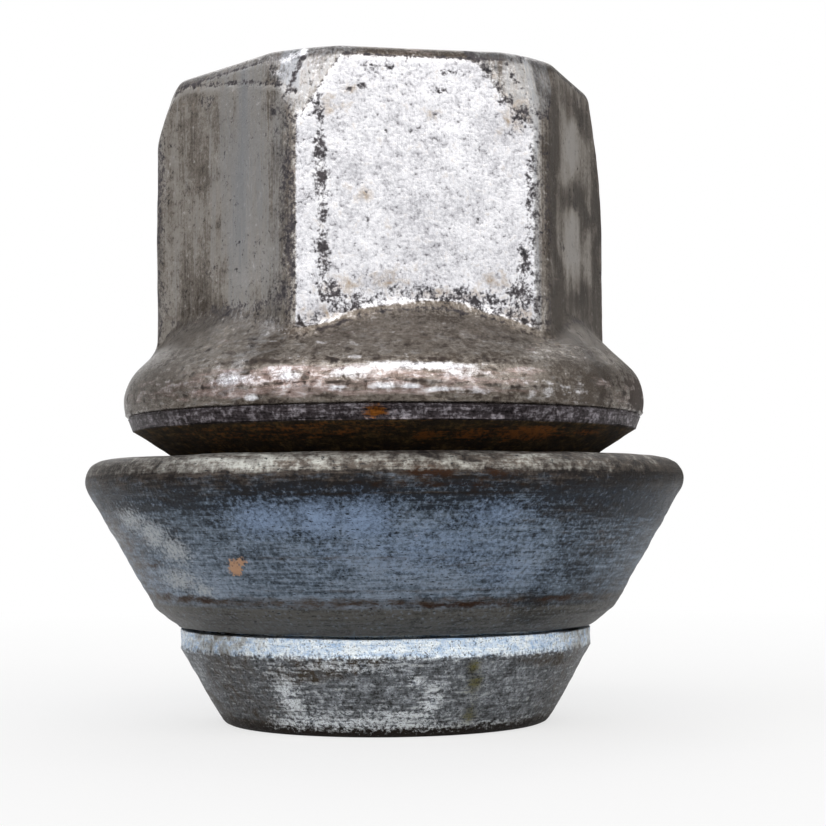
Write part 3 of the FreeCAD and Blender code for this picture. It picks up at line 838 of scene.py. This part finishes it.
# Thin lines of painted shade where the crown leaves each flat, along the arch on the left flat, in the foot's
# crease and in the flange's crease; dirt on the worn facets; and a painted dark reflection at the flange's
# right end
knee_line = 4 * crowned * (1 - crowned) * off_skirt * off_end
arch = np.interp(across, [-6, -4.5, -3, -1, 2, 5, 6], [32.2, 33.5, 33.8, 33.5, 33.1, 32.5, 32.0])
arch_line = is_left * bell(cap_heights, arch, 0.14)
foot_crease_shade = bell(wall_part - skirt_part, -0.12, 0.13) * (0.35 + 0.25 * is_front)
facet_dirt = spots(degrees, cap_heights, [
    (-70.5, 32.5, 1.5, 0.35, 0.5), (-66.8, 33.1, 1.2, 0.5, 0.6), (-64.2, 31.3, 0.9, 0.7, 0.6),
    (-67.5, 32.0, 1.0, 0.5, 0.5), (-119.8, 33.8, 0.8, 0.3, 0.8), (-120.8, 33.3, 0.9, 0.4, 0.9),
    (-122, 32.7, 1.0, 0.4, 0.9), (-123, 32.2, 1.0, 0.4, 0.7), (-117.2, 32.6, 1.0, 0.6, 0.5),
    (-114.5, 33.2, 1.2, 0.3, 0.5)])
painted_dark_reflection = spots(degrees, cap_heights, [(-29, 17.3, 11, 1.2, 0.9)])
grime_and_painted_shade = np.maximum.reduce([
    grime_and_painted_shade, 0.55 * knee_line, 0.7 * arch_line, facet_dirt, 0.6 * crease_shade, 0.45 * seam, foot_crease_shade,
    0.55 * corner_dirt, painted_dark_reflection])
grime_and_painted_shade -= (0.2 + 0.15 * front_bare_and_lit) * (1 - ease(grime_and_painted_shade, 0.05, 0.45)) * off_skirt
# Painted shade towards the flange's right end and low on the skirt under its bulge, and darker round the top
# edge
grime_and_painted_shade += 0.15 * skirted * ease(degrees, -52, -44) * (1 - ease(degrees, -20, 10))
grime_and_painted_shade = np.clip(grime_and_painted_shade + 0.2 * top_band + 0.1 * skirted * ease(17.2 - cap_heights, 0, 0.8), 0, 1)
# A painted highlight just under the arch on the left flat
tone_and_painted_light += 1.3 * is_left * bell(cap_heights, arch - 0.24, 0.12)

# Darker brown over the skirt, the crown and round the closed end, dirt along the corners beside the front
# flat, and painted shade in bands and strips on the side flats
dirt_and_painted_shade = 0.45 * skirted + 0.5 * top_band + 0.25 * crowned + 0.45 * corner_dirt
dirt_and_painted_shade = np.maximum(dirt_and_painted_shade, is_right * spots(wavy_across, wavy_heights, [
    (-5.5, 26, 0.9, 12, 0.9), (2, 27.5, 6, 0.7, 0.85), (0, 32.3, 5, 0.9, 0.95), (0, 22.7, 5, 1.1, 0.9),
    (4.6, 27, 1.0, 7, 0.95)]))
dirt_and_painted_shade = np.maximum(dirt_and_painted_shade, is_left * spots(across, cap_heights, [
    (5.7, 26, 0.45, 9, 0.45), (-6.2, 26, 0.7, 9, 0.6)]))
dirt_and_painted_shade += 0.1 * broad * (1 - front_bare_and_lit) - 0.2 * off_skirt

# Tan and rusty stains, and a painted rosy sheen along the flange's edge
tan = spots(across, cap_heights, [
    (-1.8, 22.6, 1.3, 0.6, 0.6), (3.7, 22.6, 0.8, 0.8, 0.6), (-5.0, 21.0, 1.0, 0.5, 0.6),
    (0.6, 31.0, 0.4, 0.4, 0.6), (-2.85, 26.9, 0.4, 0.4, 0.6), (-3.6, 32.1, 0.5, 0.35, 0.6),
    (4.8, 31.0, 1.0, 1.0, 0.55), (-4.6, 31.2, 0.9, 0.5, 0.5), (5.0, 21.0, 1.2, 0.5, 0.6),
    (-3.8, 22.4, 1.3, 0.5, 0.6), (0.6, 22.0, 1.6, 0.35, 0.55), (2.4, 21.9, 1.4, 0.3, 0.55)])
elsewhere = 0.35 * ease(rough_field(*cap_shape, 7, 9, 43), 0.6, 2.2) - 0.4
tan = np.where(front_bare_and_lit > 0.5, tan - 0.12, elsewhere * (1 - middle_end) - 0.4 * middle_end)
painted_rosy_sheen = skirted * ease(cap_heights, 16.6, 17.0) * (1 - ease(cap_heights, 18.1, 18.5))
painted_rosy_sheen *= 0.35 + 0.3 * in_band + 0.1 * broad

# Painted blue-grey reflections: the middle of the left flat, the worn facets and the crown above the arch,
# and a painted highlight on the rounded corner right of the front flat
corner_highlight = bell(degrees, -62, 1.3) * off_skirt
painted_cool_reflection = spots(across, cap_heights, [(1.8, 28.5, 2.4, 7, 0.75), (4.5, 26, 0.9, 8, 0.55)])
painted_cool_reflection = np.maximum(is_left * (painted_cool_reflection + 0.1 * drawn), 0.75 * corner_highlight)
above_arch = is_left * ease(cap_heights - arch, 0, 0.3)
painted_cool_reflection = np.maximum(painted_cool_reflection, 0.5 * facet * (np.abs(degrees + 90) < 36) + 0.4 * above_arch)
tone_and_painted_light += 0.4 * corner_highlight

# The flat closed end belongs to no side, and carries an even film worn through in the middle
for values in (tone_and_painted_light, dirt_and_painted_shade, grime_and_painted_shade, painted_rosy_sheen, painted_cool_reflection):
    values *= 1 - middle_end
tone_and_painted_light += 0.35 * middle_end

# The sheet is a little dented, always inwards, and not at the very edge of the closed end
dents = 0.014 * rough_field(*cap_shape, 6, 9, 31) + 0.006 * rough_field(*cap_shape, 2, 3, 32)
dents = 0.03 - np.clip(dents + 0.01 * skirted * middle, -0.03, 0.03)
below_end = overall_height - cap_heights
dents *= np.where(cap_radii < 8.5, ease(8.5 - cap_radii, 0, 1.5), ease(below_end, 0.05, 0.5))
dents[:len(inside_radii)] = 0
cap_points -= outward(cap_points) * dents[..., None]

# Stainless sheet is pale satin where it is bare, painted paler still as highlights, with lines up the walls
# where it was drawn. A brown-grey film dulls the rest, and the dirt and painted shade in the corners are near
# black and matt.
# Scales are per millimetre: clouds 2 mm wide, patches 0.5, specks 0.17, and lines 0.12 apart and 3 long,
# which are coarser than real drawing lines so that they show.
cap_material, tree = new_material("drawn stainless sheet, scuffed, with brown film and grime")
place = add(tree, "TexCoord", output="Object")
place = add(tree, "Mapping", {"Vector": place, "Scale": (1 / MM,) * 3})
height = add(tree, "SeparateXYZ", {0: place}, "Z")
cloud = add(tree, "TexNoise", {
    "Vector": place, "Scale": 0.5, "Detail": 6.0, "Roughness": 0.6, "Distortion": 0.5})
mottle = add(tree, "TexNoise", {
    "Vector": place, "Scale": 2.0, "Detail": 6.0, "Roughness": 0.65, "Distortion": 0.4})
fine = add(tree, "TexNoise", {"Vector": place, "Scale": 6.0, "Detail": 5.0, "Roughness": 0.7})
streaks = add(tree, "Mapping", {"Vector": place, "Scale": (8, 8, 0.35)})
streaks = add(tree, "TexNoise", {"Vector": streaks, "Scale": 1.0, "Detail": 6.0, "Roughness": 0.7})
smears = add(tree, "Mapping", {"Vector": place, "Scale": (1.4, 1.4, 4.5)})
smears = add(tree, "TexNoise", {"Vector": smears, "Scale": 1.0, "Detail": 6.0, "Roughness": 0.7})
on_wall = add(tree, "MapRange", {"Value": height, "From Min": 19.5, "From Max": 21.5})
along = add(tree, "Mix", {0: on_wall, 2: smears, 3: streaks})
tone = add(tree, "Math", {0: along, 1: fine}, operation="ADD")
tone = add(tree, "Math", {0: mottle, 1: 0.8, 2: tone}, operation="MULTIPLY_ADD")
tone = add(tree, "Math", {0: cloud, 1: 0.9, 2: tone}, operation="MULTIPLY_ADD")
tone_and_light_mark = add(tree, "Attribute", output="Fac", attribute_name="tone_and_painted_light")
tone = add(tree, "Math", {0: tone_and_light_mark, 1: 0.5, 2: tone}, operation="MULTIPLY_ADD")
low_tone = add(tree, "MapRange", {"Value": tone, "From Min": 1.45, "From Max": 2.05})
high_tone = add(tree, "MapRange", {"Value": tone, "From Min": 1.85, "From Max": 2.5})
speckled = add(tree, "Math", {0: fine, 1: mottle}, operation="ADD")
speckle = add(tree, "Math", {0: cloud, 1: 0.5, 2: speckled}, operation="MULTIPLY_ADD")
low_speckle = add(tree, "MapRange", {"Value": speckle, "From Min": 0.95, "From Max": 1.25})
high_speckle = add(tree, "MapRange", {"Value": speckle, "From Min": 1.2, "From Max": 1.5})
drawn_out = add(tree, "Mapping", {"Vector": place, "Scale": (0.7, 0.7, 3.5)})
drawn_out = add(tree, "TexNoise", {"Vector": drawn_out, "Scale": 1.0, "Detail": 5.0, "Roughness": 0.6})
streaked = add(tree, "Math", {0: drawn_out, 1: mottle}, operation="ADD")
jagged = add(tree, "Mix", {0: on_wall, 2: streaked, 3: speckled})
jagged = add(tree, "Math", {0: jagged, 1: 0.5}, operation="MULTIPLY")
hollow = add(tree, "Math", {0: 1.0, 1: jagged}, operation="SUBTRACT")

# Thin brown film, then darker brown and painted shade, painted sheen and reflections, bare metal and painted
# highlights, stains, and grime and painted shade over it
colour = add(tree, "Mix", {0: low_tone, 6: "#544c45", 7: "#a49d95"}, 2, data_type="RGBA")
colour = add(tree, "Mix", {0: high_tone, 6: colour, 7: "#c4c1be"}, 2, data_type="RGBA")
bare_metal_and_highlight = add(tree, "Mix", {0: low_speckle, 6: "#a4a3a9", 7: "#d3d3d8"}, 2, data_type="RGBA")
bare_metal_and_highlight = add(tree, "Mix", {0: high_speckle, 6: bare_metal_and_highlight, 7: "#f3f3f7"}, 2, data_type="RGBA")
wall_dirt_and_shade = add(tree, "Mix", {0: low_speckle, 6: "#232226", 7: "#524d50"}, 2, data_type="RGBA")
flange_dirt_and_shade = add(tree, "Mix", {0: low_speckle, 6: "#1e1612", 7: "#3b302a"}, 2, data_type="RGBA")
grime_and_shade_colour = add(tree, "Mix", {0: on_wall, 6: flange_dirt_and_shade, 7: wall_dirt_and_shade}, 2, data_type="RGBA")
cool_reflection_colour = add(tree, "Mix", {0: low_tone, 6: "#626468", 7: "#a3a5a9"}, 2, data_type="RGBA")
brown_and_shade_colour = add(tree, "Mix", {0: low_tone, 6: "#38312b", 7: "#736960"}, 2, data_type="RGBA")
rosy_sheen_tone = add(tree, "MapRange", {"Value": streaked, "From Min": 0.85, "From Max": 1.15})
rosy_sheen_colour = add(tree, "Mix", {0: rosy_sheen_tone, 6: "#59463f", 7: "#aa9a95"}, 2, data_type="RGBA")
tan_colour = add(tree, "Mix", {0: low_tone, 6: "#7c6b5b", 7: "#ac9d8d"}, 2, data_type="RGBA")
colour, share = lay_marks(tree, colour, (
    ("dirt_and_painted_shade", cloud, 2.0, 0.3, brown_and_shade_colour),
    ("painted_rosy_sheen", drawn_out, 2.0, 0.25, rosy_sheen_colour),
    ("painted_cool_reflection", along, 2.0, 0.45, cool_reflection_colour),
    ("is_bare", jagged, 3.0, 0.25, bare_metal_and_highlight),
    ("tan", mottle, 3.0, 0.4, tan_colour),
    ("grime_and_painted_shade", hollow, 4.5, 0.2, grime_and_shade_colour),
))

metallic = add(tree, "MapRange", {"Value": share, "To Min": 1.0, "To Max": 0.5})
rough = add(tree, "MapRange", {"Value": on_wall, "To Min": 0.27, "To Max": 0.34})
rough = add(tree, "Math", {0: share, 1: 0.3, 2: rough}, operation="MULTIPLY_ADD")
bump = add(tree, "Bump", {"Height": tone, "Strength": 0.35, "Distance": 0.1 * MM})
shader = add(tree, "BsdfPrincipled", {
    "Base Color": colour, "Metallic": metallic, "Roughness": rough, "Normal": bump})
add(tree, "OutputMaterial", {"Surface": shader})
marks = {
    "is_bare": is_bare, "tone_and_painted_light": tone_and_painted_light, "dirt_and_painted_shade": dirt_and_painted_shade, "grime_and_painted_shade": grime_and_painted_shade, "tan": tan, "painted_rosy_sheen": painted_rosy_sheen,
    "painted_cool_reflection": painted_cool_reflection}
sheet = grid_piece("steel_cap_sheet", cap_points, marks, False, cap_material)
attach(sheet, "nut")
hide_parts("steel_cap")
